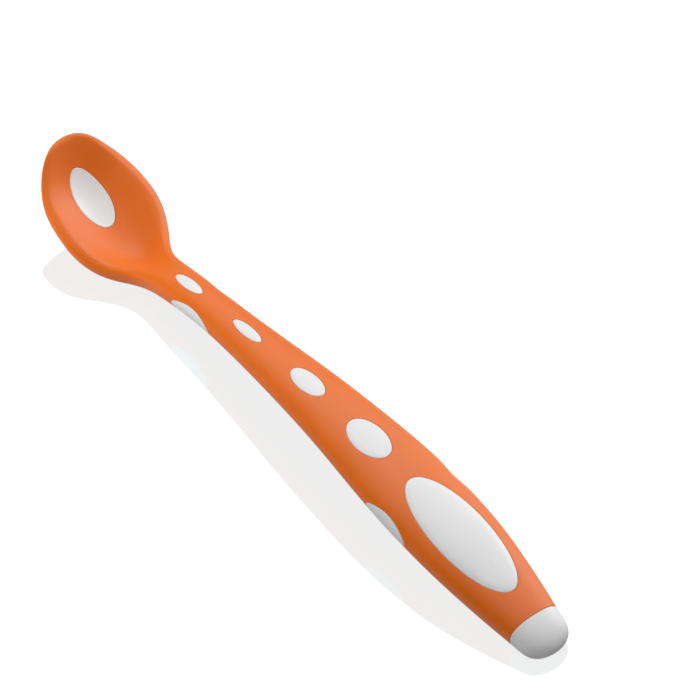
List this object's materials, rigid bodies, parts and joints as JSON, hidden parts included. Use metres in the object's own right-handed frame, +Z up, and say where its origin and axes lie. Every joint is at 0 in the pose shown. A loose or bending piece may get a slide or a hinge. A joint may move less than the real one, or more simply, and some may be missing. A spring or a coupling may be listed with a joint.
{
  "type": "baby spoon",
  "caption": "Baby spoon with a shallow soft bowl, a slim neck and a broad arched grip, moulded in soft plastic over a hard core that shows in oval pads and at the end.",
  "frame": {"origin": "on the surface that the spoon lies on, midway along its length and across its width", "axes": "+X from the bowl towards the end of the handle, +Y across, +Z up out of the bowl"},
  "size_m": [0.15, 0.0222, 0.0174],
  "materials": {
    "core": "satin white moulded plastic",
    "skin": "matte orange soft-touch moulding"
  },
  "bodies": {
    "root": {"hard_core": "core", "soft_skin": "skin"}
  },
  "joints": []
}
